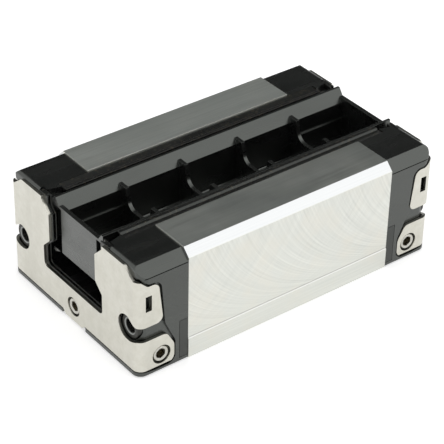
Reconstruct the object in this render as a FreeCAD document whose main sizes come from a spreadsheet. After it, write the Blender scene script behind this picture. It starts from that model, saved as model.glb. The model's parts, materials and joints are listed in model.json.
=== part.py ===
import FreeCAD, Part
import math
import os

import Sketcher
from FreeCAD import Placement, Rotation, Vector

# Linear guide carriage, roller type, lying on its mounting face with the rail channel open upwards,
# and the plastic transport rail that fills the channel until the carriage meets its real rail.
# Millimetres. X is the travel, Z is up, and the origin is in the middle of the mounting face.
# Left is -X, right is +X, near is -Y, far is +Y.

SIZES = (
    # Steel block
    ("body_length", 79.6, "steel block along the travel"),
    ("body_width", 70.0, "steel block across"),
    ("body_height", 39.8, "mounting face to the ends of the legs"),
    ("leg_chamfer_run", 2.95, "outer chamfer of a leg, across"),
    ("leg_chamfer_drop", 2.7, "outer chamfer of a leg, down"),
    ("reference_height", 7.3, "height of the ground reference edge"),
    ("side_relief", 0.25, "step back of the side above the reference edge"),
    ("leg_width", 17.0, "leg across, from the block's side to the channel"),
    ("channel_depth", 27.6, "channel floor below the ends of the legs"),
    ("channel_fillet", 0.8, "radius where the floor meets the legs"),
    ("foot_round", 0.4, "rounding of the block's lower long edges"),
    ("mount_spacing_along", 50.0, "mounting holes, along the travel"),
    ("mount_spacing_across", 50.0, "mounting holes, across"),
    ("mount_drill", 6.8, "tapping drill of the mounting thread"),
    ("mount_depth", 11.0, "depth of a mounting hole"),
    # Rollers and their loops
    ("roller_diameter", 4.5, "roller diameter"),
    ("roller_length", 4.4, "roller length"),
    ("roller_pitch", 4.9, "spacing of the rollers in a row"),
    ("row_depth", 11.3, "midway between the rows, below the ends of the legs"),
    ("row_half_spacing", 4.9, "height of a row from that middle"),
    ("row_inset", 2.6, "loaded row in from the leg's inner side"),
    ("raceway_margin", 0.3, "raceway past each end of a roller"),
    ("passage_play", 0.3, "play of a roller in its return passage"),
    ("return_bore", 8.0, "return bore in a leg"),
    ("tube_fit", 0.1, "clearance of a return tube in its bore"),
    ("outer_loop_lead", 5.2, "straight run before the outer loop turns"),
    # Roller guide strips and side seals
    ("strip_gap", 0.25, "strip to roller end"),
    ("strip_fit", 0.2, "strip to steel"),
    ("waist_inset", 3.4, "rail's waist in from the loaded row"),
    ("head_inset", 2.4, "rail head in from the leg's inner side"),
    ("rail_gap", 0.5, "strips and seals frame to the rail"),
    ("ledge_drop", 9.5, "lower strip's ledge below the rows' middle"),
    ("ledge_depth", 2.4, "upper strip's ledge below the ends of the legs"),
    ("seal_overhang", 10.8, "side seal past the end of the block"),
    ("seal_lip_inset", 1.7, "inner edge of the side seal's lip out from the rail's waist"),
    ("seal_lip_width", 1.1, "width of that lip"),
    ("seal_lip_depth", 0.4, "top of that lip below the ends of the legs"),
    ("seal_depth", 1.0, "top of the side seal's base below the ends of the legs"),
    # End caps
    ("cap_length", 17.4, "end cap along the travel"),
    ("cap_side_step", 0.3, "cap's side in from the block's"),
    ("cap_top_step", 0.4, "cap's top below the ends of the legs"),
    ("cap_bottom", 0.3, "underside of the end cap"),
    ("cap_chamfer_run", 3.5, "upper chamfer of the cap, across"),
    ("cap_chamfer_drop", 3.3, "upper chamfer of the cap, down"),
    ("cap_corner", 3.0, "radius of the cap's upright corners"),
    ("cap_front_round", 1.5, "rounding of the cap's upper front edge"),
    ("cap_groove", 0.35, "width and depth of the line moulded under the cap's chamfer"),
    ("cap_lip_gap", 0.2, "cap opening at its top to the rail head"),
    ("cap_lead_in", 2.0, "how far that opening widens towards the plate"),
    ("cap_head_gap", 1.0, "cap opening round the rail head"),
    ("cap_waist_gap", 1.1, "cap opening at the rail's waist"),
    ("cap_front_wall", 2.7, "cap in front of the cavity for the return guides"),
    ("cap_side_wall", 4.2, "cap beside a cavity"),
    ("cavity_drop", 8.0, "lower edge of a cavity below the rows' middle"),
    ("cavity_rise", 8.5, "upper edge of a cavity above the rows' middle"),
    ("guide_fit", 0.15, "clearance of a return guide in its cavity"),
    ("guide_foot_thickness", 3.1, "foot of a return guide along the travel"),
    ("guide_foot_low", 1.5, "underside of that foot"),
    ("guide_foot_web", 6.0, "width of that foot's lower part"),
    ("guide_foot_drop", 1.0, "top of that foot below the cap screw"),
    ("guide_foot_inset", 1.0, "inner edge of that foot out from the channel"),
    ("recess_margin", 0.7, "cap recess round an upper wing"),
    ("recess_margin_low", 0.4, "cap recess behind a lower wing"),
    ("lip_gap", 0.35, "lower edge of the plate to the cap's lip below it"),
    ("recess_gap", 0.1, "cap recess behind a plate wing"),
    ("pocket_play", 0.2, "cap pocket round a screw head"),
    # End plates
    ("plate_thickness", 1.0, "stainless sheet"),
    ("plate_bend", 3.0, "outer radius of a bend"),
    ("plate_slope_run", 7.0, "width of the slope from the plate's top to its wing"),
    ("wing_floor_run", 7.0, "length of the lower wing's bottom edge"),
    ("plate_top_step", 0.9, "top edge of the plate below the cap's"),
    ("plate_bottom", 2.0, "bottom edge of the plate"),
    ("wing_bottom", 1.4, "bottom edge of the lower wing"),
    ("tab_bottom", 0.6, "bottom edge of the middle tab"),
    ("tab_half_width", 4.6, "half width of the middle tab"),
    ("plate_waist_gap", 0.5, "plate opening at the rail's waist"),
    ("plate_head_gap", 0.4, "plate opening round the rail head"),
    ("plate_shoulder_gap", 0.7, "plate opening at its top edge to the rail head"),
    ("plate_floor_step", 0.6, "bottom of the plate's opening above the channel floor"),
    ("slot_drop", 4.25, "lower edge of a screw slot below the screw"),
    ("slot_rise", 4.45, "upper edge of a screw slot above the screw"),
    ("slot_reach", 4.35, "inner end of a screw slot from the screw"),
    ("neck_drop", 3.2, "lower wing's upper edge below the screw"),
    ("neck_rise", 2.0, "upper wing's lower edge above the screw"),
    ("wing_drop", 5.5, "upper wing's upper edge below the plate's top"),
    ("upper_wing_reach", 9.2, "plate face back to the upper wing's end"),
    ("lower_wing_reach", 13.3, "plate face back to the lower wing's end"),
    ("latch_width", 2.2, "latch hole along the travel"),
    ("latch_height", 5.5, "height of a latch hole"),
    ("latch_drop", 9.0, "lower edge of a latch hole below the wing's upper edge"),
    ("latch_setback", 5.1, "plate face back to the latch hole"),
    # End seals
    ("end_seal_thickness", 1.8, "end seal along the travel"),
    ("end_lip_thickness", 0.6, "one lip of an end seal"),
    ("end_lip_press", 0.15, "lips pressed on the rail's waist"),
    ("end_seal_cover", 1.0, "end seal past the channel, across"),
    ("end_seal_drop", 3.0, "end seal below the plate's opening"),
    ("end_seal_step", 0.4, "end seal's upper edge below the cap's top"),
    # Screws and plugs
    ("screw_inset", 5.8, "cap screw in from the cap's side"),
    ("screw_drop", 12.2, "cap screw below the rows' middle"),
    ("screw_thread", 5.0, "cap screw thread"),
    ("screw_head", 8.5, "cap screw head"),
    ("screw_head_height", 5.0, "height of that head"),
    ("screw_socket", 4.0, "socket across flats"),
    ("screw_setback", 1.2, "plate face back to the screw head"),
    ("screw_length", 20.0, "cap screw under the head"),
    ("screw_drill", 4.2, "tapping drill for the cap screw"),
    ("screw_hole_depth", 9.0, "depth of that hole in the steel"),
    ("screw_clearance", 5.6, "clearance hole in the cap"),
    ("plug_thread", 6.0, "lubrication plug"),
    ("plug_length", 7.0, "length of a plug"),
    ("plug_socket", 3.0, "socket of a plug across flats"),
    ("plug_hole", 6.6, "hole in the plate round a plug"),
    ("side_plug_height", 5.9, "height of a side plug"),
    ("side_plug_setback", 8.6, "plate face back to a side plug"),
    # Transport rail
    ("tray_short", 0.9, "transport rail shorter than block and caps together"),
    ("tray_shift", 1.25, "its middle from the carriage's middle"),
    ("tray_rise", 10.6, "top of its flared walls above the rows' middle"),
    ("tray_flare", 3.0, "how far the walls flare out, each side"),
    ("tray_land", 0.9, "width of the wall at the top"),
    ("tray_wall", 2.2, "thickness of its walls at the waist"),
    ("tray_flare_height", 4.1, "height of the flare"),
    ("tray_side_gap", 0.5, "its waist narrower than the rail's, each side"),
    ("tray_row_gap", 0.55, "transport rail to the rollers"),
    ("tray_flange_reach", 2.7, "lower flanges past the waist"),
    ("tray_flange_drop", 10.3, "underside of those flanges below the rows' middle"),
    ("tray_floor_drop", 7.0, "floor of the bays below the rows' middle"),
    ("tray_floor_thickness", 1.6, "thickness of that floor"),
    ("tray_end_wall", 1.5, "thickness of an end wall"),
    ("tray_rib", 1.3, "thickness of a cross rib"),
    ("tray_rib_drop", 2.3, "ribs and end walls below the walls' top"),
    ("notch_depth", 6.8, "depth of a rib's notch"),
    ("notch_foot", 0.57, "width of the notch at its bottom, as a share of the bay"),
    ("notch_corner", 0.66, "radius of its bottom corners, as a share of that bottom"),
    ("notch_mouth", 0.72, "width of the notch at the rib's top, as a share of the bay"),
    ("tray_ledge_rise", 7.7, "ledge in the first and last bay, above the floor"),
    ("tray_ledge_width", 0.6, "width of that ledge"),
    ("tray_taper_length", 4.8, "lead-in at each end"),
    ("tray_taper_depth", 1.9, "how far the lead-in narrows each side"),
    ("tray_taper_rise", 7.5, "upper end of the lead-in above the rows' middle"),
)
ROLLER_FACES = 12
BAYS = 5
DIAGONAL = math.sqrt(0.5)
SLANT = math.sqrt(2)
HEX_CORNER = 1 / math.sqrt(3)


class Size:
    """A number together with the spreadsheet formula that gives it."""

    def __init__(self, value, formula):
        self.value = value
        self.formula = formula

    def __add__(self, other):
        other = sized(other)
        return Size(self.value + other.value, f"({self.formula} + {other.formula})")

    def __sub__(self, other):
        other = sized(other)
        return Size(self.value - other.value, f"({self.formula} - {other.formula})")

    def __mul__(self, other):
        other = sized(other)
        return Size(self.value * other.value, f"({self.formula} * {other.formula})")

    def __truediv__(self, other):
        other = sized(other)
        return Size(self.value / other.value, f"({self.formula} / {other.formula})")

    def __neg__(self):
        return Size(-self.value, f"(-1 * {self.formula})")


def sized(number):
    """A plain number as a Size, and a Size as it is."""
    if isinstance(number, Size):
        return number
    return Size(number, f"({number})")


class Sheet:
    """The driving sizes, each under its own name."""


doc = FreeCAD.newDocument("LinearGuideCarriage")
sheet = doc.addObject("Spreadsheet::Sheet", "Sizes")
size = Sheet()
for row, (alias, number, note) in enumerate(SIZES, start=1):
    sheet.set(f"A{row}", note)
    sheet.set(f"B{row}", str(number))
    sheet.setAlias(f"B{row}", alias)
    setattr(size, alias, Size(number, f"Sizes.{alias}"))
doc.recompute()

TURN = {
    "XY": Rotation(),
    "XZ": Rotation(Vector(1, 0, 0), 90),
    "YZ": Rotation(Vector(1, 1, 1), 120),
}
ACROSS = {"XY": "z", "XZ": "y", "YZ": "x"}
ALONG = {"x": Vector(1, 0, 0), "y": Vector(0, 1, 0), "z": Vector(0, 0, 1)}

nodes = []


def bind(thing, name, value):
    """Tie one property of a document object to the sizes."""
    thing.setExpression(name, sized(value).formula)


def bind_last(sketch, constraint, value):
    """Add a dimension to a sketch and tie it to the sizes."""
    index = sketch.addConstraint(constraint)
    sketch.setExpression(f"Constraints[{index}]", sized(value).formula)


def pin_point(sketch, element, point, across, up):
    """Hold one point of a sketch, 1 its start, 2 its end or 3 its centre, at its distances from the origin."""
    across = sized(across)
    up = sized(up)
    bind_last(sketch, Sketcher.Constraint("DistanceX", -1, 1, element, point, across.value), across)
    bind_last(sketch, Sketcher.Constraint("DistanceY", -1, 1, element, point, up.value), up)


def corner_ends(corners, index):
    """Where the outline leaves one straight edge and joins the next, and the arc between them."""
    here = Vector(corners[index][0].value, corners[index][1].value, 0)
    radius = corners[index][2]
    if radius is None:
        return here, here, None
    before = corners[index - 1]
    after = corners[(index + 1) % len(corners)]
    back = Vector(before[0].value, before[1].value, 0) - here
    ahead = Vector(after[0].value, after[1].value, 0) - here
    back.normalize()
    ahead.normalize()
    half_angle = back.getAngle(ahead) / 2
    reach = radius.value / math.tan(half_angle)
    middle = back + ahead
    middle.normalize()
    centre = here + middle * (radius.value / math.sin(half_angle))
    return here + back * reach, here + ahead * reach, centre


def draw_outline(sketch, points):
    """One closed outline through corner points (across, up) or (across, up, corner radius)."""
    corners = []
    for point in points:
        radius = sized(point[2]) if len(point) > 2 else None
        corners.append((sized(point[0]), sized(point[1]), radius))
    count = len(corners)
    ends = [corner_ends(corners, index) for index in range(count)]
    lines = []
    for index in range(count):
        start = ends[index][1]
        stop = ends[(index + 1) % count][0]
        lines.append(sketch.addGeometry(Part.LineSegment(start, stop), False))
    for index in range(count):
        before = lines[index - 1]
        after = lines[index]
        across, up, radius = corners[index]
        arrive, leave, centre = ends[index]
        if radius is None:
            sketch.addConstraint(Sketcher.Constraint("Coincident", before, 2, after, 1))
            pin_point(sketch, after, 1, across, up)
            continue
        first = math.atan2(arrive.y - centre.y, arrive.x - centre.x)
        last = math.atan2(leave.y - centre.y, leave.x - centre.x)
        turns_left = (last - first) % (2 * math.pi) < math.pi
        if not turns_left:
            first, last = last, first
        circle = Part.Circle(centre, Vector(0, 0, 1), radius.value)
        arc = sketch.addGeometry(Part.ArcOfCircle(circle, first, last), False)
        arc_arrive = 1 if turns_left else 2
        arc_leave = 2 if turns_left else 1
        sketch.addConstraint(Sketcher.Constraint("Tangent", before, 2, arc, arc_arrive))
        sketch.addConstraint(Sketcher.Constraint("Tangent", after, 1, arc, arc_leave))
        bind_last(sketch, Sketcher.Constraint("Radius", arc, radius.value), radius)
        tip = sketch.addGeometry(Part.Point(Vector(across.value, up.value, 0)), True)
        sketch.addConstraint(Sketcher.Constraint("PointOnObject", tip, 1, before))
        sketch.addConstraint(Sketcher.Constraint("PointOnObject", tip, 1, after))
        pin_point(sketch, tip, 1, across, up)


def draw_circle(sketch, across, up, radius):
    """A circle at its distances from the origin."""
    across = sized(across)
    up = sized(up)
    radius = sized(radius)
    centre = Vector(across.value, up.value, 0)
    circle = sketch.addGeometry(Part.Circle(centre, Vector(0, 0, 1), radius.value), False)
    pin_point(sketch, circle, 3, across, up)
    bind_last(sketch, Sketcher.Constraint("Radius", circle, radius.value), radius)


def free_sketch(name, plane, start):
    """An empty sketch in a plane, at a distance from the origin."""
    sketch = doc.addObject("Sketcher::SketchObject", name)
    start = sized(start)
    sketch.Placement = Placement(ALONG[ACROSS[plane]] * start.value, TURN[plane])
    bind(sketch, f"Placement.Base.{ACROSS[plane]}", start)
    return sketch


def raise_sketch(name, sketch, plane, length):
    """A sketch drawn out along the axis that crosses its plane."""
    solid = doc.addObject("Part::Extrusion", name)
    solid.Base = sketch
    solid.DirMode = "Custom"
    solid.Dir = ALONG[ACROSS[plane]]
    solid.Solid = True
    bind(solid, "LengthFwd", length)
    return solid


def prism(name, plane, points, start, length):
    """A closed outline drawn out along the axis that crosses its plane."""
    sketch = free_sketch(f"{name}_outline", plane, start)
    draw_outline(sketch, points)
    return raise_sketch(name, sketch, plane, length)


def rod(name, axis, radius, length, x, y, z):
    """A cylinder along an axis, from its start point."""
    turn = {"x": Rotation(Vector(0, 1, 0), 90), "y": Rotation(Vector(1, 0, 0), -90), "z": Rotation()}
    solid = doc.addObject("Part::Cylinder", name)
    place(solid, x, y, z, turn[axis])
    bind(solid, "Radius", radius)
    bind(solid, "Height", length)
    return solid


def place(thing, x, y, z, turn=Rotation()):
    """Put an object at a point that follows the sizes."""
    x = sized(x)
    y = sized(y)
    z = sized(z)
    thing.Placement = Placement(Vector(x.value, y.value, z.value), turn)
    bind(thing, "Placement.Base.x", x)
    bind(thing, "Placement.Base.y", y)
    bind(thing, "Placement.Base.z", z)


def fuse(name, pieces):
    """One solid from several."""
    whole = doc.addObject("Part::MultiFuse", name)
    whole.Shapes = pieces
    whole.Refine = True
    return whole


def cut(name, base, tools):
    """A solid less one or more others."""
    tool = tools[0] if len(tools) == 1 else fuse(f"{name}_tools", tools)
    rest = doc.addObject("Part::Cut", name)
    rest.Base = base
    rest.Tool = tool
    rest.Refine = True
    return rest


def common(name, pieces):
    """What several solids share."""
    shared = doc.addObject("Part::MultiCommon", name)
    shared.Shapes = pieces
    shared.Refine = True
    return shared


def mirror(name, source, axis):
    """The same piece on the other side."""
    image = doc.addObject("Part::Mirroring", name)
    image.Source = source
    image.Normal = ALONG[axis]
    return image


def group(name, pieces):
    """Separate solids that share one node."""
    bundle = doc.addObject("Part::Compound", name)
    bundle.Links = pieces
    return bundle


def node(piece, label):
    """Name a finished sub-part, which names its file."""
    piece.Label = label
    nodes.append(piece)
    return piece


def both_sides(half):
    """An outline symmetrical about the middle, from the far half of it."""
    near = []
    for point in reversed(half):
        near.append((-sized(point[0]),) + tuple(point[1:]))
    return list(half) + near


def hexagon(across_flats):
    """The corners of a socket, flats up and down."""
    corner = sized(across_flats) * HEX_CORNER
    flat = sized(across_flats) / 2
    half = corner / 2
    return [(corner, 0), (half, flat), (-half, flat), (-corner, 0), (-half, -flat), (half, -flat)]


# Block: places from its middle, its sides and the ends of its legs
half_length = size.body_length / 2
half_width = size.body_width / 2
leg_top = size.body_height
channel_half_width = half_width - size.leg_width
channel_floor = leg_top - size.channel_depth
ledge_high = leg_top - size.ledge_depth

# Rollers and rail: places from the legs
row_middle = leg_top - size.row_depth
row_low = row_middle - size.row_half_spacing
row_high = row_middle + size.row_half_spacing
row_across = channel_half_width - size.row_inset
return_across = row_across + size.row_half_spacing * 2
roller_radius = size.roller_diameter / 2
passage = size.roller_diameter + size.passage_play
roller_end_low = row_across - row_low + size.roller_length / 2 * SLANT
rail_waist = row_across - size.waist_inset
rail_head = channel_half_width - size.head_inset
ledge_low = row_middle - size.ledge_drop

# Side seals
seal_half_length = half_length + size.seal_overhang
seal_lip_inner = rail_waist + size.seal_lip_inset
seal_lip_top = leg_top - size.seal_lip_depth
seal_top = leg_top - size.seal_depth

# End caps and return guides
cap_front = half_length + size.cap_length
cap_half_width = half_width - size.cap_side_step
cap_top = leg_top - size.cap_top_step
cap_lip_opening = rail_head + size.cap_lip_gap
cap_head_opening = rail_head + size.cap_head_gap
cap_waist_opening = rail_waist + size.cap_waist_gap
cap_cavity_depth = size.cap_length - size.cap_front_wall
cap_cavity_half_width = cap_half_width - size.cap_side_wall
cap_cavity_low = row_middle - size.cavity_drop
cap_cavity_high = row_middle + size.cavity_rise
screw_across = cap_half_width - size.screw_inset
screw_height = row_middle - size.screw_drop
front_plug_height = channel_floor / 2
guide_foot_inner = channel_half_width + size.guide_foot_inset
guide_foot_high = screw_height - size.guide_foot_drop

# End plates
plate_front = cap_front + size.plate_thickness
wing_inner = cap_half_width - size.plate_thickness
plate_top = cap_top - size.plate_top_step
plate_waist = rail_waist + size.plate_waist_gap
plate_head = rail_head + size.plate_head_gap
plate_shoulder = rail_head + size.plate_shoulder_gap
plate_opening_floor = channel_floor + size.plate_floor_step
slot_low = screw_height - size.slot_drop
slot_high = screw_height + size.slot_rise
slot_inner = screw_across - size.slot_reach
neck_low = screw_height - size.neck_drop
neck_high = screw_height + size.neck_rise
wing_top = plate_top - size.wing_drop
latch_low = wing_top - size.latch_drop

# End seals
end_seal_reach = channel_half_width + size.end_seal_cover
end_seal_bottom = plate_opening_floor - size.end_seal_drop
end_seal_top = cap_top - size.end_seal_step
end_lip_waist = rail_waist - size.end_lip_press

# Transport rail
tray_length = (half_length + size.cap_length) * 2 - size.tray_short
tray_waist = rail_waist - size.tray_side_gap
tray_inner = tray_waist - size.tray_wall
tray_flare_outer = tray_inner + size.tray_flare
tray_flange = tray_waist + size.tray_flange_reach
tray_top = row_middle + size.tray_rise
tray_rib_top = tray_top - size.tray_rib_drop
tray_flare_low = tray_top - size.tray_flare_height
tray_flange_low = row_middle - size.tray_flange_drop
tray_floor_top = row_middle - size.tray_floor_drop
tray_floor_low = tray_floor_top - size.tray_floor_thickness
tray_ledge_height = tray_floor_top + size.tray_ledge_rise
tray_taper_high = row_middle + size.tray_taper_rise
notch_low = tray_rib_top - size.notch_depth
notch_half_width_low = tray_inner * size.notch_foot
notch_half_width_high = tray_inner * size.notch_mouth
notch_corner = notch_half_width_low * size.notch_corner


def body_sketch(body, role, name, offset=0):
    """A sketch on one of a body's own origin planes, with an offset along its normal."""
    plane = [feature for feature in body.Origin.OriginFeatures if feature.Role == role][0]
    sketch = body.newObject("Sketcher::SketchObject", name)
    sketch.AttachmentSupport = (plane, [""])
    sketch.MapMode = "FlatFace"
    bind(sketch, "AttachmentOffset.Base.z", offset)
    return sketch


# Steel block: a U section with two V-shaped noses that carry the raceways
def block_section():
    half_race = size.roller_length / 2 + size.raceway_margin
    race_across = row_across + roller_radius * DIAGONAL
    race_up = roller_radius * DIAGONAL
    nose = race_across - half_race * DIAGONAL
    groove = race_across + half_race * DIAGONAL
    shift = half_race * DIAGONAL
    side = half_width - size.side_relief
    return both_sides([
        (half_width, 0, size.foot_round),
        (half_width, size.reference_height),
        (side, size.reference_height + size.side_relief),
        (side, size.body_height - size.leg_chamfer_drop),
        (half_width - size.leg_chamfer_run, size.body_height),
        (channel_half_width, size.body_height),
        (channel_half_width, ledge_high),
        (groove, ledge_high),
        (groove, row_high - race_up + shift),
        (nose, row_high - race_up - shift),
        (nose, row_low + race_up + shift),
        (groove, row_low + race_up - shift),
        (groove, ledge_low),
        (channel_half_width, ledge_low),
        (channel_half_width, channel_floor, size.channel_fillet),
    ])


def make_block():
    body = doc.addObject("PartDesign::Body", "RunnerBlock")
    section = body_sketch(body, "YZ_Plane", "BlockSection")
    draw_outline(section, block_section())
    pad = body.newObject("PartDesign::Pad", "BlockPad")
    pad.Profile = section
    pad.SideType = "Symmetric"
    bind(pad, "Length", size.body_length)
    doc.recompute()

    bores = body_sketch(body, "YZ_Plane", "ReturnBores")
    for across in (return_across, -return_across):
        for up in (row_low, row_high):
            draw_circle(bores, across, up, size.return_bore / 2)
    passages = body.newObject("PartDesign::Pocket", "ReturnPassages")
    passages.Profile = bores
    passages.SideType = "Symmetric"
    bind(passages, "Length", size.body_length + 2)
    doc.recompute()

    taps = body_sketch(body, "YZ_Plane", "CapScrewHoles", half_length)
    for across in (screw_across, -screw_across):
        draw_circle(taps, across, screw_height, size.screw_drill / 2)
    holes = body.newObject("PartDesign::Pocket", "CapScrewTaps")
    holes.Profile = taps
    bind(holes, "Length", size.screw_hole_depth)
    doc.recompute()
    other_end = body.newObject("PartDesign::Mirrored", "OtherEnd")
    other_end.Originals = [holes]
    mirror_plane = [feature for feature in body.Origin.OriginFeatures if feature.Role == "YZ_Plane"][0]
    other_end.MirrorPlane = (mirror_plane, [""])
    body.Tip = other_end
    doc.recompute()

    pattern = body_sketch(body, "XY_Plane", "MountPattern")
    for along in (size.mount_spacing_along / 2, -size.mount_spacing_along / 2):
        for across in (size.mount_spacing_across / 2, -size.mount_spacing_across / 2):
            draw_circle(pattern, along, across, size.mount_drill / 2)
    threads = body.newObject("PartDesign::Hole", "MountHoles")
    threads.Profile = pattern
    doc.recompute()
    threads.DepthType = "Dimension"
    threads.DrillPoint = "Flat"
    threads.Reversed = True
    bind(threads, "Diameter", size.mount_drill)
    bind(threads, "Depth", size.mount_depth)
    body.Tip = threads
    return node(body, "runner_block")


# Rollers: two rows a side, set at 45 degrees, each with a few faces because there are sixty
def make_rollers(label, row_height, tilt):
    turn = Rotation(Vector(1, 0, 0), tilt)
    lean = turn.multVec(Vector(0, 0, 1))
    rollers = []
    spaces = int((size.body_length.value - size.roller_diameter.value - 2) / size.roller_pitch.value)
    first = size.roller_pitch * (-spaces / 2)
    for count in range(spaces + 1):
        roller = doc.addObject("Part::Prism", f"{label}_roller")
        roller.Polygon = ROLLER_FACES
        bind(roller, "Circumradius", roller_radius)
        bind(roller, "Height", size.roller_length)
        half = size.roller_length / 2
        along = first + size.roller_pitch * count
        place(roller, along, row_across - half * lean.y, row_height - half * lean.z, turn)
        rollers.append(roller)
    far = node(group(f"{label}_far_rollers", rollers), f"roller_row_{label}_far")
    node(mirror(f"{label}_near_rollers", far, "y"), f"roller_row_{label}_near")


# Return tubes: round outside, a square passage set at 45 degrees inside
def make_tubes():
    half_passage = passage / 2 * SLANT
    for label, up in (("lower", row_low), ("upper", row_high)):
        sketch = free_sketch(f"tube_{label}_outline", "YZ", -half_length)
        draw_circle(sketch, return_across, up, size.return_bore / 2 - size.tube_fit)
        draw_outline(sketch, [
            (return_across + half_passage, up),
            (return_across, up + half_passage),
            (return_across - half_passage, up),
            (return_across, up - half_passage),
        ])
        tube = raise_sketch(f"tube_{label}", sketch, "YZ", size.body_length)
        far = node(tube, f"return_tube_{label}_far")
        node(mirror(f"tube_{label}_near", far, "y"), f"return_tube_{label}_near")


# Strips that guide the roller ends, and the seals that close the gap beside the rail
def make_strips():
    race_across = row_across + roller_radius * DIAGONAL
    reach = (size.roller_length / 2 + size.raceway_margin) * DIAGONAL
    nose = race_across - reach - size.strip_fit
    groove = race_across + reach - size.strip_fit
    inner = rail_waist + size.rail_gap
    slope_in = row_across - row_low - size.roller_length / 2 * SLANT - size.strip_gap * SLANT
    slope_out = roller_end_low + size.strip_gap * SLANT
    twice_middle = row_middle * 2
    head = rail_head + size.rail_gap
    wall = channel_half_width - size.strip_fit
    strips = {
        "centre_strip": [
            (inner, inner - slope_in),
            (nose, nose - slope_in),
            (nose, twice_middle - nose + slope_in),
            (inner, twice_middle - inner + slope_in),
        ],
        "lower_strip": [
            (head, channel_floor),
            (wall - size.channel_fillet, channel_floor),
            (wall, channel_floor + size.channel_fillet),
            (wall, ledge_low + size.strip_fit),
            (groove, ledge_low + size.strip_fit),
            (groove, groove - slope_out),
            (head, head - slope_out),
        ],
        "upper_strip": [
            (groove, twice_middle - groove + slope_out),
            (groove, ledge_high - size.strip_fit),
            (head + size.rail_gap, ledge_high - size.strip_fit),
            (head - size.strip_fit, twice_middle - head + size.strip_fit + slope_out),
        ],
    }
    for label, outline in strips.items():
        far = node(prism(label, "YZ", outline, -half_length, size.body_length), f"{label}_far")
        node(mirror(f"{label}_mirrored", far, "y"), f"{label}_near")
    lip_outer = seal_lip_inner + size.seal_lip_width
    seal = prism("side_seal", "YZ", [
        (channel_half_width, ledge_high),
        (channel_half_width, seal_top),
        (lip_outer + seal_lip_top - seal_top, seal_top),
        (lip_outer, seal_lip_top),
        (seal_lip_inner, seal_lip_top),
        (seal_lip_inner, seal_top),
        (head + size.rail_gap, ledge_high),
    ], -seal_half_length, seal_half_length * 2)
    far = node(seal, "side_seal_far")
    node(mirror("side_seal_mirrored", far, "y"), "side_seal_near")


# Side view of the two wings of an end plate, from the front face backwards
def wing_outline(margin, margin_low):
    front = plate_front + 2
    fold = plate_front - size.plate_bend / 2
    upper_end = plate_front - size.upper_wing_reach - margin
    lower_end = plate_front - size.lower_wing_reach - margin_low
    top = wing_top + margin
    return front, fold, upper_end, lower_end, top


def make_plate_right():
    front, fold, upper_end, lower_end, top = wing_outline(0, 0)
    depth = size.plate_thickness
    sheet_back = plate_front - size.lower_wing_reach - 1
    outer = cap_half_width
    blank = prism("plate_blank", "XY", [
        (sheet_back, wing_inner),
        (cap_front, wing_inner, size.plate_bend - depth),
        (cap_front, -wing_inner, size.plate_bend - depth),
        (sheet_back, -wing_inner),
        (sheet_back, -outer),
        (plate_front, -outer, size.plate_bend),
        (plate_front, outer, size.plate_bend),
        (sheet_back, outer),
    ], 0, plate_top + 2)
    slope = plate_waist - plate_head
    face = prism("plate_face", "YZ", both_sides([
        (size.tab_half_width, size.tab_bottom),
        (size.tab_half_width + size.plate_bottom - size.tab_bottom, size.plate_bottom),
        (outer + 1, size.plate_bottom),
        (outer + 1, neck_low),
        (outer - 1.2, neck_low, 2.0),
        (outer - 4.2, slot_low, 2.0),
        (slot_inner, slot_low, 4.2),
        (slot_inner, slot_high, 4.2),
        (outer - 5.4, slot_high, 1.6),
        (outer - 1.6, neck_high, 1.6),
        (outer + 1, neck_high),
        (outer + 1, wing_top + 2),
        (outer - 2.6, wing_top + 2),
        (outer - size.plate_slope_run, plate_top, 1.5),
        (plate_shoulder, plate_top),
        (plate_shoulder, plate_top - 1.2),
        (plate_waist, plate_top - 1.2 - plate_shoulder + plate_waist, 0.6),
        (plate_waist, row_low + 0.2, 0.6),
        (plate_head, row_low + 0.2 + slope, 0.6),
        (plate_head, plate_opening_floor, 1.6),
    ]), sheet_back, size.lower_wing_reach + 3)
    sides = prism("plate_sides", "XZ", [
        (front, plate_top + 1),
        (fold, plate_top + 1),
        (fold, top + 2),
        (fold - 2.2, top, 1.5),
        (upper_end + 1.6, top, 2.4),
        (upper_end - 0.1, neck_high, 2.2),
        (fold, neck_high),
        (fold, neck_low),
        (lower_end + 2.8, neck_low, 2.4),
        (lower_end, neck_low - 5, 3.0),
        (lower_end, size.wing_bottom, 2.8),
        (lower_end + size.wing_floor_run, size.wing_bottom),
        (fold, size.plate_bottom),
        (fold, size.tab_bottom - 0.5),
        (front, size.tab_bottom - 0.5),
    ], -outer - 1, outer * 2 + 2)
    formed = common("plate_formed", [blank, face, sides])
    latch_back = plate_front - size.latch_setback
    latch = prism("plate_latch", "XZ", [
        (latch_back, latch_low),
        (latch_back + size.latch_width, latch_low),
        (latch_back + size.latch_width, latch_low + size.latch_height),
        (latch_back, latch_low + size.latch_height),
    ], -outer - 1, outer * 2 + 2)
    side_x = plate_front - size.side_plug_setback
    hole_radius = size.plug_hole / 2
    side_hole = rod("plate_side_hole", "y", hole_radius, outer * 2 + 2, side_x, -outer - 1,
                    size.side_plug_height)
    front_hole = rod("plate_front_hole", "x", hole_radius, depth + 2, cap_front - 1, 0,
                     front_plug_height)
    return cut("plate_right", formed, [latch, side_hole, front_hole])


# End seal: a rubber frame with two lips that run round the rail
def seal_frame(name, waist, start, length):
    widen = waist - rail_waist
    return prism(name, "YZ", both_sides([
        (end_seal_reach, end_seal_bottom, 2.0),
        (end_seal_reach, end_seal_top),
        (rail_head + widen - 1.2, end_seal_top),
        (rail_head + widen - 1.2, row_high + rail_head - rail_waist - 1.4),
        (waist, row_high - 0.2),
        (waist, row_low + 0.2),
        (rail_head + widen, row_low + 0.2 - rail_head + rail_waist),
        (rail_head + widen, plate_opening_floor + 0.2 - widen, 1.4),
    ]), start, length)


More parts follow.
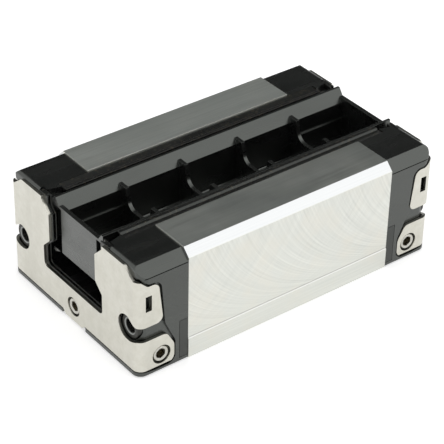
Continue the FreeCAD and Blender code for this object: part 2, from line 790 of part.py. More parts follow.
def make_seal_right():
    back = cap_front - size.end_seal_thickness
    frame = seal_frame("seal_body", plate_waist + 0.4, back, size.end_seal_thickness)
    inner_lip = seal_frame("seal_inner_lip", end_lip_waist, back, size.end_lip_thickness)
    outer_lip = seal_frame("seal_outer_lip", end_lip_waist, cap_front - size.end_lip_thickness,
                           size.end_lip_thickness)
    return fuse("seal_right", [frame, inner_lip, outer_lip])


# Return guide: carries the crossing roller passages, one loop inside the other
def passage_loop(name, row_height, return_height, lead):
    half = passage / 2 * SLANT
    square = [
        (row_across + half, row_height),
        (row_across, row_height + half),
        (row_across - half, row_height),
        (row_across, row_height - half),
    ]
    load_run = prism(f"{name}_load", "YZ", square, half_length - 1, lead + 1)
    back = [(sized(y) + size.row_half_spacing * 2, sized(z) + return_height - row_height)
            for y, z in square]
    return_run = prism(f"{name}_return", "YZ", back, half_length - 1, lead + 1)
    turn_face = free_sketch(f"{name}_turn_outline", "YZ", half_length + lead)
    draw_outline(turn_face, square)
    turn = doc.addObject("Part::Revolution", f"{name}_turn")
    turn.Source = turn_face
    rising = 1 if return_height.value > row_height.value else -1
    turn.Axis = Vector(0, -rising * DIAGONAL, DIAGONAL)
    bind(turn, "Base.x", half_length + lead)
    bind(turn, "Base.y", row_across + size.row_half_spacing)
    bind(turn, "Base.z", row_middle)
    turn.Angle = 180 if rising < 0 else -180
    turn.Solid = True
    return [load_run, return_run, turn]


def make_guide_right_far():
    fit = size.guide_fit
    low = cap_cavity_low + fit
    high = cap_cavity_high - fit
    waist = cap_waist_opening
    head = cap_head_opening
    outer = cap_cavity_half_width - fit
    core = prism("guide_core", "YZ", [
        (head, low),
        (outer, low),
        (outer, high),
        (head, high),
        (waist, high - head + waist),
        (waist, low + head - waist),
    ], half_length, cap_cavity_depth - fit)
    foot = prism("guide_foot", "YZ", [
        (guide_foot_inner, size.guide_foot_low),
        (cap_half_width, size.guide_foot_low),
        (cap_half_width, guide_foot_high),
        (guide_foot_inner + size.guide_foot_web, guide_foot_high),
        (guide_foot_inner + size.guide_foot_web, low + 1),
        (guide_foot_inner, low + 1),
    ], half_length, size.guide_foot_thickness)
    screw_hole = rod("guide_screw_hole", "x", size.screw_clearance / 2, size.guide_foot_thickness + 2,
                     half_length - 1, screw_across, screw_height)
    inner_loop = passage_loop("inner_loop", row_high, row_low, sized(0))
    outer_loop = passage_loop("outer_loop", row_low, row_high, size.outer_loop_lead)
    return cut("guide_right_far", fuse("guide_blank", [core, foot]), [screw_hole] + inner_loop + outer_loop)


def make_cap_right():
    outer = cap_half_width
    fit = size.guide_fit
    front, fold, upper_end, lower_end, top = wing_outline(size.recess_margin, size.recess_margin_low)
    wing_floor = plate_front - size.lower_wing_reach + size.wing_floor_run
    lip_line = [
        (wing_floor, size.wing_bottom - size.lip_gap),
        (fold, size.plate_bottom - size.lip_gap),
        (front, size.plate_bottom - size.lip_gap),
    ]
    lip_side = prism("cap_lip_side", "XZ", lip_line[:2] + [
        (plate_front, size.plate_bottom - size.lip_gap),
        (plate_front, size.cap_bottom),
        (wing_floor, size.cap_bottom),
    ], -outer, outer * 2)
    lip_plan = prism("cap_lip_plan", "XY", [
        (wing_floor, outer),
        (plate_front, outer, size.plate_bend),
        (plate_front, -outer, size.plate_bend),
        (wing_floor, -outer),
    ], 0, size.plate_bottom)
    tab_room = size.tab_half_width + size.plate_bottom - size.tab_bottom + size.lip_gap
    tab_notch = prism("cap_tab_notch", "XY", [
        (cap_front, tab_room),
        (plate_front + 1, tab_room),
        (plate_front + 1, -tab_room),
        (cap_front, -tab_room),
    ], -1, size.plate_bottom + 1)
    lip = cut("cap_lip", common("cap_lip_blank", [lip_side, lip_plan]), [tab_notch])
    section = prism("cap_section", "YZ", both_sides([
        (outer, size.cap_bottom),
        (outer, cap_top - size.cap_chamfer_drop),
        (outer - size.cap_chamfer_run, cap_top),
        (cap_lip_opening, cap_top),
        (cap_lip_opening, cap_cavity_high - cap_head_opening + cap_lip_opening),
        (cap_waist_opening, cap_cavity_high - cap_head_opening + cap_waist_opening),
        (cap_waist_opening, cap_cavity_low + cap_head_opening - cap_waist_opening),
        (cap_head_opening, cap_cavity_low),
        (cap_head_opening, channel_floor, 1.2),
    ]), half_length, size.cap_length)
    plan = prism("cap_plan", "XY", [
        (half_length - 1, outer),
        (cap_front, outer, size.cap_corner),
        (cap_front, -outer, size.cap_corner),
        (half_length - 1, -outer),
    ], 0, cap_top + 1)
    profile = prism("cap_profile", "XZ", [
        (half_length - 1, -1),
        (cap_front, -1),
        (cap_front, cap_top, size.cap_front_round),
        (half_length - 1, cap_top),
    ], -outer - 1, outer * 2 + 2)
    blank = common("cap_blank", [section, plan, profile])

    recess_side = prism("cap_recess_side", "XZ", lip_line + [
        (front, top + 2.4),
        (fold, top + 2.4),
        (fold - 2.6, top, 2.0),
        (upper_end + 1.4, top, 3.0),
        (upper_end, neck_high - 1, 3.0),
        (lower_end + 2.2, neck_low + size.recess_margin, 3.0),
        (lower_end, neck_low - 4, 3.6),
        (lower_end, size.wing_bottom - size.lip_gap, 2.8),
    ], -outer - 1, outer * 2 + 2)
    inner_face = wing_inner - size.recess_gap
    keep = prism("cap_recess_keep", "XY", [
        (half_length - 2, inner_face),
        (cap_front, inner_face, size.plate_bend),
        (cap_front, -inner_face, size.plate_bend),
        (half_length - 2, -inner_face),
    ], -2, cap_top + 4)
    recess = cut("cap_recess", recess_side, [keep])

    cavity = prism("cap_cavity", "YZ", [
        (cap_cavity_half_width, cap_cavity_low),
        (cap_cavity_half_width, cap_cavity_high),
        (-cap_cavity_half_width, cap_cavity_high),
        (-cap_cavity_half_width, cap_cavity_low),
    ], half_length - 1, cap_cavity_depth + 1)
    side_seal_end = seal_half_length + fit
    seal_groove = prism("cap_seal_groove", "XY", [
        (half_length - 1, channel_half_width),
        (side_seal_end, channel_half_width),
        (side_seal_end, cap_lip_opening),
        (cap_front + 1, cap_lip_opening + size.cap_lead_in),
        (cap_front + 1, -cap_lip_opening - size.cap_lead_in),
        (side_seal_end, -cap_lip_opening),
        (side_seal_end, -channel_half_width),
        (half_length - 1, -channel_half_width),
    ], ledge_high - fit, 5)
    seal_seat = prism("cap_seal_seat", "YZ", [
        (end_seal_reach + fit, end_seal_bottom - fit, 2.0),
        (end_seal_reach + fit, cap_top + 1),
        (-end_seal_reach - fit, cap_top + 1),
        (-end_seal_reach - fit, end_seal_bottom - fit, 2.0),
    ], cap_front - size.end_seal_thickness, size.end_seal_thickness + 1)
    pocket_floor = plate_front - size.screw_setback - size.screw_head_height
    cuts = [recess, cavity, seal_groove, seal_seat]
    line_top = cap_top - size.cap_chamfer_drop
    for label, sign in (("far", 1), ("near", -1)):
        cuts.append(prism(f"cap_line_{label}", "YZ", [
            ((outer + 1) * sign, line_top - size.cap_groove),
            ((outer + 1) * sign, line_top),
            ((outer - size.cap_groove) * sign, line_top),
            ((outer - size.cap_groove) * sign, line_top - size.cap_groove),
        ], half_length - 1, size.cap_length + 2))
    for label, sign in (("far", 1), ("near", -1)):
        foot = prism(f"cap_foot_{label}", "YZ", [
            ((guide_foot_inner - fit) * sign, size.guide_foot_low - fit),
            ((outer + 1) * sign, size.guide_foot_low - fit),
            ((outer + 1) * sign, guide_foot_high + fit),
            ((guide_foot_inner + size.guide_foot_web + fit) * sign, guide_foot_high + fit),
            ((guide_foot_inner + size.guide_foot_web + fit) * sign, cap_cavity_low + 1),
            ((guide_foot_inner - fit) * sign, cap_cavity_low + 1),
        ], half_length - 1, size.guide_foot_thickness + fit + 1)
        pocket = rod(f"cap_pocket_{label}", "x", size.screw_head / 2 + size.pocket_play, size.cap_length,
                     pocket_floor, screw_across * sign, screw_height)
        hole = rod(f"cap_screw_hole_{label}", "x", size.screw_clearance / 2, size.cap_length,
                   half_length - 1, screw_across * sign, screw_height)
        cuts.extend([foot, pocket, hole])
    side_x = plate_front - size.side_plug_setback
    plug_radius = size.plug_thread / 2
    reach = size.plug_length + 1
    for label, start in (("far", wing_inner - reach + 1), ("near", -wing_inner - 1)):
        cuts.append(rod(f"cap_side_port_{label}", "y", plug_radius, reach, side_x, start,
                        size.side_plug_height))
    cuts.append(rod("cap_front_port", "x", plug_radius, reach + 1, cap_front - reach, 0,
                    front_plug_height))
    latch_back = plate_front - size.latch_setback + fit * 2
    latch_front = latch_back + size.latch_width - fit * 4
    noses = []
    for label, sign in (("far", 1), ("near", -1)):
        noses.append(prism(f"cap_latch_{label}", "XY", [
            (latch_back, (inner_face - 0.5) * sign),
            (latch_back, (outer - fit) * sign),
            (latch_back + 0.4, (outer - fit) * sign),
            (latch_front, (inner_face + 0.2) * sign),
            (latch_front, (inner_face - 0.5) * sign),
        ], latch_low + fit * 2, size.latch_height - fit * 4))
    return fuse("cap_right", [cut("cap_hollowed", blank, cuts), lip] + noses)


# Hexagon socket cap screw, modelled about its own axis
def make_cap_screws():
    body = doc.addObject("PartDesign::Body", "CapScrew")
    shape = body_sketch(body, "XZ_Plane", "ScrewHalf")
    head_radius = size.screw_head / 2
    thread_radius = size.screw_thread / 2
    draw_outline(shape, [
        (0, 0),
        (0, head_radius),
        (-size.screw_head_height, head_radius),
        (-size.screw_head_height, thread_radius - 0.5),
        (-size.screw_head_height - size.screw_length, thread_radius - 0.5),
        (-size.screw_head_height - size.screw_length, 0),
    ])
    turned = body.newObject("PartDesign::Revolution", "ScrewTurned")
    turned.Profile = shape
    x_axis = [feature for feature in body.Origin.OriginFeatures if feature.Role == "X_Axis"][0]
    turned.ReferenceAxis = (x_axis, [""])
    turned.Angle = 360
    doc.recompute()
    socket = body_sketch(body, "YZ_Plane", "ScrewSocket")
    draw_outline(socket, hexagon(size.screw_socket))
    recess = body.newObject("PartDesign::Pocket", "ScrewRecess")
    recess.Profile = socket
    bind(recess, "Length", size.screw_head_height / 2)
    body.Tip = recess
    place(body, plate_front - size.screw_setback, screw_across, screw_height)
    pair = group("screws_right", [body, mirror("screw_near", body, "y")])
    node(pair, "cap_screws_right")
    node(mirror("screws_left", pair, "x"), "cap_screws_left")


# Socket set screw that closes a lubrication port, modelled about its own axis
def make_plug(name, turn, x, y, z):
    body = doc.addObject("PartDesign::Body", name)
    shape = body_sketch(body, "XZ_Plane", f"{name}Half")
    radius = size.plug_thread / 2 - 0.1
    draw_outline(shape, [
        (0, 0),
        (0, radius),
        (-size.plug_length, radius),
        (-size.plug_length, 0),
    ])
    turned = body.newObject("PartDesign::Revolution", f"{name}Turned")
    turned.Profile = shape
    x_axis = [feature for feature in body.Origin.OriginFeatures if feature.Role == "X_Axis"][0]
    turned.ReferenceAxis = (x_axis, [""])
    turned.Angle = 360
    doc.recompute()
    socket = body_sketch(body, "YZ_Plane", f"{name}Socket")
    draw_outline(socket, hexagon(size.plug_socket))
    recess = body.newObject("PartDesign::Pocket", f"{name}Recess")
    recess.Profile = socket
    bind(recess, "Length", size.plug_length / 2)
    body.Tip = recess
    place(body, x, y, z, turn)
    return body


def make_plugs():
    front = make_plug("FrontPlug", Rotation(), plate_front - 0.2, 0, front_plug_height)
    node(front, "front_plug_right")
    node(mirror("front_plug_mirrored", front, "x"), "front_plug_left")
    side = make_plug("SidePlug", Rotation(Vector(0, 0, 1), 90), plate_front - size.side_plug_setback,
                     cap_half_width - 0.2, size.side_plug_height)
    pair = node(group("side_plugs", [side, mirror("side_plug_near", side, "y")]), "side_plugs_right")
    node(mirror("side_plugs_mirrored", pair, "x"), "side_plugs_left")


# Transport rail: a flared tray of five bays, whose outside follows the rail
def make_transport_rail():
    start = size.tray_shift - tray_length / 2
    plane_low = row_low + row_across - size.roller_diameter * DIAGONAL - size.tray_row_gap * SLANT
    plane_high = row_high - row_across + size.roller_diameter * DIAGONAL + size.tray_row_gap * SLANT
    crown = tray_flare_outer + size.tray_land
    flare = (tray_flare_outer - tray_inner) / (tray_top - tray_flare_low)
    rim = tray_flare_outer - (tray_top - tray_rib_top) * flare
    body = doc.addObject("PartDesign::Body", "TransportRail")
    x_axis = [feature for feature in body.Origin.OriginFeatures if feature.Role == "X_Axis"][0]
    section = body_sketch(body, "YZ_Plane", "TraySection", start)
    draw_outline(section, both_sides([
        (tray_waist - 1.0, tray_floor_low),
        (tray_flange - 0.4, tray_flange_low),
        (tray_flange, tray_flange_low + 0.6),
        (tray_flange, plane_low - tray_flange),
        (tray_waist, plane_low - tray_waist),
        (tray_waist, plane_high + tray_waist),
        (crown, plane_high + crown),
        (crown, tray_top),
        (tray_flare_outer, tray_top),
        (rim, tray_rib_top),
    ]))
    pad = body.newObject("PartDesign::Pad", "TrayPad")
    pad.Profile = section
    bind(pad, "Length", tray_length)
    doc.recompute()

    trough = body_sketch(body, "YZ_Plane", "TroughSection", start + size.tray_end_wall)
    draw_outline(trough, both_sides([
        (tray_inner, tray_floor_top, 0.8),
        (tray_inner, tray_flare_low),
        (tray_flare_outer, tray_top),
        (tray_flare_outer, tray_top + 1),
    ]))
    hollow = body.newObject("PartDesign::Pocket", "Trough")
    hollow.Profile = trough
    hollow.Reversed = True
    bind(hollow, "Length", tray_length - size.tray_end_wall * 2)
    doc.recompute()

    pitch = tray_length / BAYS
    web = body_sketch(body, "YZ_Plane", "RibSection", start + pitch - size.tray_rib / 2)
    draw_outline(web, both_sides([
        (tray_inner + 0.5, tray_floor_top - 0.5),
        (tray_inner + 0.5, tray_flare_low),
        (rim + 0.5, tray_rib_top),
        (notch_half_width_high, tray_rib_top),
        (notch_half_width_low, notch_low, notch_corner),
    ]))
    rib = body.newObject("PartDesign::Pad", "Rib")
    rib.Profile = web
    bind(rib, "Length", size.tray_rib)
    doc.recompute()
    ribs = body.newObject("PartDesign::LinearPattern", "Ribs")
    ribs.Originals = [rib]
    ribs.Direction = (x_axis, [""])
    ribs.Mode = "Spacing"
    bind(ribs, "Offset", pitch)
    ribs.Occurrences = BAYS - 1
    body.Tip = ribs
    doc.recompute()

    ledge_length = pitch - size.tray_end_wall
    for end, first in (("Left", start + size.tray_end_wall), ("Right", start + pitch * (BAYS - 1))):
        ledges = body_sketch(body, "YZ_Plane", f"LedgeSection{end}", first)
        for sign in (1, -1):
            draw_outline(ledges, [
                ((tray_inner + 0.5) * sign, tray_floor_top - 0.5),
                ((tray_inner + 0.5) * sign, tray_ledge_height),
                ((tray_inner - size.tray_ledge_width) * sign, tray_ledge_height),
                ((tray_inner - size.tray_ledge_width) * sign, tray_floor_top - 0.5),
            ])
        ledge = body.newObject("PartDesign::Pad", f"Ledge{end}")
        ledge.Profile = ledges
        bind(ledge, "Length", ledge_length)
        body.Tip = ledge
        doc.recompute()

    lead_in = body_sketch(body, "XY_Plane", "LeadIn", tray_taper_high)
    for tip, back in ((start, 1), (start + tray_length, -1)):
        for sign in (1, -1):
            draw_outline(lead_in, [
                (tip + size.tray_taper_length * back, tray_waist * sign),
                (tip + size.tray_taper_length * back, (tray_flange + 1) * sign),
                (tip - 1.0 * back, (tray_flange + 1) * sign),
                (tip - 1.0 * back, (tray_waist - size.tray_taper_depth) * sign),
                (tip, (tray_waist - size.tray_taper_depth) * sign),
            ])
    tapers = body.newObject("PartDesign::Pocket", "Tapers")
    tapers.Profile = lead_in
    bind(tapers, "Length", tray_taper_high - tray_floor_low)
    body.Tip = tapers
    return node(body, "transport_rail")


def both_ends(right, label):
    """A piece of the right end and its image at the left end."""
    node(right, f"{label}_right")
    node(mirror(f"{label}_mirrored", right, "x"), f"{label}_left")


make_block()
both_ends(make_cap_right(), "end_cap")
both_ends(make_plate_right(), "end_plate")
both_ends(make_seal_right(), "end_seal")
guide_far = make_guide_right_far()
both_ends(guide_far, "return_guide_far")
both_ends(mirror("guide_right_near", guide_far, "y"), "return_guide_near")
make_rollers("lower", row_low, 135)
make_rollers("upper", row_high, 45)
make_tubes()
make_strips()
make_cap_screws()
make_plugs()
make_transport_rail()

doc.recompute()
for thing in doc.Objects:
    if "Invalid" in thing.State or "Error" in thing.State:
        raise RuntimeError(f"{thing.Label} did not build: {thing.State}")
for piece in nodes:
    if piece.Shape.isNull() or not piece.Shape.isValid():
        raise RuntimeError(f"{piece.Label} has no valid solid")
os.makedirs("parts", exist_ok=True)
for piece in nodes:
    piece.Shape.exportStep(f"parts/{piece.Label}.step")
    print(f"{piece.Label}: {len(piece.Shape.Solids)} solids, {piece.Shape.Volume / 1000:.2f} cm3")
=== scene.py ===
import json
import math

import bmesh
import bpy
from mathutils import Matrix, Vector

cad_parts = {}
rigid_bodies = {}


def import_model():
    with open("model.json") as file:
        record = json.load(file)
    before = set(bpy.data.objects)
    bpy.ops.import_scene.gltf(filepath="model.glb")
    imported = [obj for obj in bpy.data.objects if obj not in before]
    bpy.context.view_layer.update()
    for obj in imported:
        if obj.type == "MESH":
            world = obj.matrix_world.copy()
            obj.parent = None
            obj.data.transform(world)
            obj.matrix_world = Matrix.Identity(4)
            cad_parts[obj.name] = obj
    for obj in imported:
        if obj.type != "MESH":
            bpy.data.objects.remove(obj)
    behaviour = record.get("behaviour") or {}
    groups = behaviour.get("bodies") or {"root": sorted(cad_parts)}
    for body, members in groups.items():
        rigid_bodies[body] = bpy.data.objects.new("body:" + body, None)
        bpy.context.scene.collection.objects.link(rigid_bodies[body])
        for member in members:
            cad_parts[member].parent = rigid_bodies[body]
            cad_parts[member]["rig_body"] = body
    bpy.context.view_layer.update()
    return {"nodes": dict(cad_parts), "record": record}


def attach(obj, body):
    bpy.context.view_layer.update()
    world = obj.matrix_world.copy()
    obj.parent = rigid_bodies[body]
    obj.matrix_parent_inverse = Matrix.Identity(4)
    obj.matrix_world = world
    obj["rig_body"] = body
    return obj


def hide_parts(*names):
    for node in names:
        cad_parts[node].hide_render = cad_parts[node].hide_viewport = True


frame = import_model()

# A roller-type linear guide carriage upside down on a white table, with its black transport rail.
# The scene is in metres. Sizes are written in millimetres, and MM turns them into metres.

nodes = frame["nodes"]
MM = 0.001

# Places on the carriage that the finishes and the small pieces follow
STEP_HEIGHT = 7.3          # top of the reference edge at the foot of a side
CHAMFER_FOOT = 37.1        # where a leg's chamfer begins
PLATE_FRONT = 58.2         # outer face of an end plate
SCREW_ACROSS = 28.9        # cap screws, out from the middle
SCREW_UP = 16.3            # cap screws, above the table
FRONT_PLUG_UP = 6.1        # front plugs, above the table
SIDE_PLUG_UP = 5.9         # side plugs, above the table
SIDE_PLUG_OUT = 34.5       # face of a side plug, out from the middle
SIDE_PLUG_SETBACK = 8.6    # side plugs, behind the plate's face
ROW_ACROSS = 15.4          # roller rows, out from the middle
ROW_HEIGHTS = {"lower": 23.6, "upper": 33.4}


# Finishes

class Finish:
    """A material in the making: each method adds a node and gives back its output."""

    def __init__(self, name, colour, roughness, metallic=0.0, ior=1.5):
        self.material = bpy.data.materials.new(name)
        self.material.use_nodes = True
        self.tree = self.material.node_tree
        self.shader = self.tree.nodes["Principled BSDF"]
        self.place = self.add("ShaderNodeTexCoord").outputs["Object"]
        self.feed("Base Color", colour)
        self.feed("Roughness", roughness)
        self.feed("Metallic", metallic)
        self.feed("IOR", ior)

    def add(self, kind, **settings):
        made = self.tree.nodes.new(kind)
        for key, value in settings.items():
            setattr(made, key, value)
        return made

    def wire(self, value, socket):
        """Link an output to a socket, or write a plain value into it."""
        if isinstance(value, bpy.types.NodeSocket):
            self.tree.links.new(value, socket)
        elif isinstance(value, tuple) and socket.type == "RGBA":
            socket.default_value = value + (1.0,)
        else:
            socket.default_value = value

    def feed(self, name, value):
        self.wire(value, self.shader.inputs[name])

    def moved(self, scale, turn=0.0):
        """Coordinates stretched, and turned about the upright axis by an angle in degrees."""
        mapping = self.add("ShaderNodeMapping")
        self.wire(self.place, mapping.inputs["Vector"])
        mapping.inputs["Scale"].default_value = scale
        mapping.inputs["Rotation"].default_value = (0, 0, math.radians(turn))
        return mapping.outputs["Vector"]

    def noise(self, scale, detail=2.0, roughness=0.5, at=None):
        grain = self.add("ShaderNodeTexNoise")
        self.wire(at or self.place, grain.inputs["Vector"])
        grain.inputs["Scale"].default_value = scale
        grain.inputs["Detail"].default_value = detail
        grain.inputs["Roughness"].default_value = roughness
        return grain.outputs["Fac"]

    def sums(self, operation, first, second=0.0, clamp=False):
        node = self.add("ShaderNodeMath", operation=operation, use_clamp=clamp)
        self.wire(first, node.inputs[0])
        self.wire(second, node.inputs[1])
        return node.outputs[0]

    def times(self, first, second):
        return self.sums("MULTIPLY", first, second)

    def size_of(self, value):
        """A value without its sign."""
        return self.sums("ABSOLUTE", value)

    def spread(self, value, low, high, to_low=0.0, to_high=1.0):
        """value between low and high, carried over to the range to_low to to_high."""
        node = self.add("ShaderNodeMapRange")
        for name, number in (("Value", value), ("From Min", low), ("From Max", high),
                             ("To Min", to_low), ("To Max", to_high)):
            self.wire(number, node.inputs[name])
        return node.outputs[0]

    def spread_mm(self, value, low, high, to_low=0.0, to_high=1.0):
        """The same with low and high in millimetres."""
        return self.spread(value, low * MM, high * MM, to_low, to_high)

    def band(self, value, rise, fall):
        """1 between two soft edges, each given in millimetres as where it starts and where it ends."""
        return self.times(self.spread_mm(value, *rise), self.spread_mm(value, *fall))

    def mix(self, factor, first, second):
        """A blend of two colours."""
        node = self.add("ShaderNodeMix", data_type="RGBA")
        self.wire(factor, node.inputs["Factor"])
        self.wire(first, node.inputs[6])
        self.wire(second, node.inputs[7])
        return node.outputs[2]

    def blend_values(self, factor, first, second):
        """A blend of two numbers."""
        node = self.add("ShaderNodeMix", data_type="FLOAT")
        self.wire(factor, node.inputs[0])
        self.wire(first, node.inputs[2])
        self.wire(second, node.inputs[3])
        return node.outputs[0]

    def axes(self):
        """The three coordinates of a point."""
        node = self.add("ShaderNodeSeparateXYZ")
        self.wire(self.place, node.inputs[0])
        return node.outputs

    def joined(self, x, y, z=0.0):
        """A point from three coordinates."""
        node = self.add("ShaderNodeCombineXYZ")
        for value, socket in zip((x, y, z), node.inputs):
            self.wire(value, socket)
        return node.outputs[0]

    def facing(self):
        """The surface's own direction, in the object's axes."""
        node = self.add("ShaderNodeSeparateXYZ")
        self.wire(self.add("ShaderNodeNewGeometry").outputs["True Normal"], node.inputs[0])
        return node.outputs

    def bump(self, height, strength, depth):
        """Relief from a pattern, depth in millimetres."""
        node = self.add("ShaderNodeBump")
        node.inputs["Strength"].default_value = strength
        node.inputs["Distance"].default_value = depth * MM
        self.wire(height, node.inputs["Height"])
        return node.outputs["Normal"]


def ground_steel():
    """Ground steel: cup wheel arcs on the sides, scratches on the leg tops, fine lines elsewhere."""
    f = Finish("ground_steel", (0.74, 0.745, 0.73), 0.32, metallic=1.0)
    x, y, z = f.axes()
    across = f.size_of(y)
    facing_up = f.facing()[2]
    upward = f.spread(facing_up, 0.9, 0.98)

    # Arcs of a cup wheel that went along the side, its middle above the leg: steep at the top, level below
    wheel_radius = 48.0 * MM
    wheel_middle = (STEP_HEIGHT + 47.8) * MM
    below = f.sums("SUBTRACT", wheel_middle, z)
    half_chord = f.sums("SUBTRACT", wheel_radius ** 2, f.times(below, below))
    rise = f.sums("SQRT", f.sums("MAXIMUM", half_chord, 0.0))
    drift = f.times(z, 0.03)
    leading = f.noise(1050, 3.0, 0.62, at=f.joined(f.sums("ADD", x, rise), drift))
    trailing = f.noise(600, 2.0, 0.5, at=f.joined(f.sums("SUBTRACT", x, rise), drift, 0.3))
    arcs = f.sums("ADD", f.times(leading, 0.75), f.times(trailing, 0.25))
    worn = f.spread(f.noise(85, 2.0, 0.5), 0.38, 0.62, 0.5, 1.0)
    arcs = f.blend_values(worn, 0.5, arcs)

    # Lines along the travel, fainter on the reference edge, with slanting scratches added on the leg tops
    lines = f.noise(60, 3.0, 0.6, at=f.moved((0.4, 60, 60)))
    lines = f.blend_values(f.spread_mm(z, 7.2, 7.4, 0.45, 1.0), 0.5, lines)
    slanting = f.noise(110, 3.0, 0.6, at=f.moved((0.5, 14, 1), turn=-34))
    scratches = f.sums("ADD", f.times(lines, 0.5), f.times(slanting, 0.5))
    on_side = f.times(f.spread_mm(across, 34.2, 34.5),
                      f.band(z, (STEP_HEIGHT, 7.6), (37.3, CHAMFER_FOOT)))
    grind = f.blend_values(on_side, f.blend_values(upward, lines, scratches), arcs)

    # The sides' own tone, with warmer patches
    tone = f.mix(f.spread(grind, 0.3, 0.7), (0.560, 0.572, 0.535), (0.765, 0.773, 0.725))
    warmer = f.spread(f.noise(130, 2.0, 0.5), 0.45, 0.75, 0.0, 0.45)
    tone = f.mix(warmer, tone, (0.71, 0.68, 0.60))
    # The leg tops are darker, and the near one is painted darker than the far one, a painted shade
    leg_top = f.mix(f.spread(scratches, 0.36, 0.64), (0.485, 0.515, 0.485), (0.565, 0.595, 0.565))
    leg_top = f.mix(f.spread_mm(y, -20, 20, 0.61, 1.0), (0.0, 0.0, 0.0), leg_top)
    clouds = f.spread(f.noise(45, 3.0, 0.55), 0.35, 0.7, 0.7, 1.0)
    tone = f.mix(f.times(upward, clouds), tone, leg_top)
    # The chamfers are ground evenly along their length
    chamfer = f.times(f.spread_mm(across, 31.9, 32.1),
                      f.sums("SUBTRACT", f.spread_mm(z, CHAMFER_FOOT, 37.3), upward, clamp=True))
    chamfer_tone = f.mix(f.spread(lines, 0.3, 0.7), (0.60, 0.612, 0.615), (0.65, 0.66, 0.66))
    tone = f.mix(chamfer, tone, chamfer_tone)
    # A painted shade line in the corner above the reference edge, over the light line of the step itself,
    # whose upward facet is dimmed by a painted shade too
    corner = f.times(f.band(z, (7.45, 7.6), (8.0, 7.8)), f.spread_mm(across, 34.5, 34.7))
    tone = f.mix(f.times(corner, 0.4), tone, (0.22, 0.22, 0.21))
    step = f.times(f.band(z, (7.15, 7.25), (7.6, 7.5)), f.spread(facing_up, 0.2, 0.5))
    f.feed("Base Color", f.mix(step, tone, (0.635, 0.64, 0.615)))
    f.feed("Roughness", f.sums("ADD", f.spread(grind, 0.2, 0.8, 0.26, 0.38), f.times(upward, 0.13)))
    f.feed("Normal", f.bump(grind, 0.42, 0.02))
    return f.material


def stainless_sheet():
    """Stainless sheet: finely mottled and faintly rolled, with painted shade on its upward cut edges."""
    f = Finish("stainless_sheet", (0.74, 0.72, 0.66), 0.36, metallic=1.0)
    mottle = f.noise(420, 4.0, 0.65)
    rolled = f.noise(300, 2.0, 0.5, at=f.moved((1, 1, 0.08)))
    patches = f.noise(55, 2.0, 0.5)
    tone = f.mix(f.spread(mottle, 0.3, 0.7), (0.580, 0.568, 0.500), (0.662, 0.650, 0.588))
    tone = f.mix(f.spread(rolled, 0.4, 0.7, 0.0, 0.35), tone, (0.545, 0.535, 0.475))
    # Painted shade: faces that look up are darkened
    upward_shade = f.spread(f.facing()[2], 0.7, 0.95, 0.0, 0.85)
    f.feed("Base Color", f.mix(upward_shade, tone, (0.20, 0.20, 0.18)))
    f.feed("Roughness", f.spread(patches, 0.3, 0.7, 0.28, 0.40))
    f.feed("Normal", f.bump(mottle, 0.16, 0.02))
    return f.material


def moulded_black(name, tone, roughness, grain, ior=1.65, stain=0.0, end_face_sheen=0.0):
    """Black plastic or rubber with a fine moulded grain. stain is the share of dry brown specks, and the
    last argument the grey of faces that look along the travel at either end: a painted sheen, streaked
    with drawn mould marks."""
    f = Finish(name, (tone, tone, tone * 0.95), roughness, ior=ior)
    broad = f.noise(70, 3.0, 0.5)
    colour = f.mix(f.spread(broad, 0.35, 0.7), (tone * 0.8,) * 3, (tone * 1.35,) * 3)
    if stain:
        specks = f.noise(900, 3.0, 0.7)
        colour = f.mix(f.spread(specks, 0.54, 0.70, 0.0, stain), colour, (0.060, 0.052, 0.036))
    # Painted sheen: the outward end faces are made grey, streaked with drawn mould marks
    if end_face_sheen:
        drawn = f.noise(240, 3.0, 0.6, at=f.moved((1, 0.15, 2.2)))
        grey = f.mix(f.spread(drawn, 0.3, 0.7), (end_face_sheen * 0.5,) * 3, (end_face_sheen * 1.4,) * 3)
        end_faces = f.spread_mm(f.times(f.axes()[0], f.facing()[0]), 50, 54)
        colour = f.mix(end_faces, colour, grey)
    flow = f.noise(160, 2.0, 0.5, at=f.moved((0.25, 1, 1)))
    fine = f.noise(2600, 2.0, 0.6)
    f.feed("Base Color", colour)
    f.feed("Roughness", f.spread(flow, 0.3, 0.7, roughness - 0.05, roughness + 0.06))
    f.feed("Normal", f.bump(fine, grain, 0.02))
    f.feed("Specular Tint", (0.93, 0.985, 0.92))
    return f.material


def turned_metal(name, colour, roughness, rim_highlight=False):
    """Metal from a lathe or a header with fine wear, and for cap screws a painted highlight ring round the
    socket.
    """
    f = Finish(name, colour, roughness, metallic=1.0)
    wear = f.noise(900, 3.0, 0.6)
    rubbed = f.noise(2400, 2.0, 0.5)
    tone = f.mix(f.spread(wear, 0.3, 0.7), tuple(part * 0.82 for part in colour), colour)
    # A painted highlight: a light ring round the socket on the head's face
    if rim_highlight:
        rim_radius = 2.62 * MM
        x, y, z = f.axes()
        across = f.sums("SUBTRACT", f.size_of(y), SCREW_ACROSS * MM)
        up = f.sums("SUBTRACT", z, SCREW_UP * MM)
        reach = f.sums("SQRT", f.sums("ADD", f.times(across, across), f.times(up, up)))
        rim = f.spread_mm(f.size_of(f.sums("SUBTRACT", reach, rim_radius)), 0.08, 0.24, 1.0, 0.0)
        head_face = f.spread_mm(f.size_of(x), 56.6, 56.7)
        tone = f.mix(f.times(rim, head_face), tone, (0.30, 0.31, 0.30))
    f.feed("Base Color", tone)
    f.feed("Roughness", f.spread(wear, 0.3, 0.7, roughness - 0.06, roughness + 0.08))
    f.feed("Normal", f.bump(rubbed, 0.08, 0.01))
    return f.material


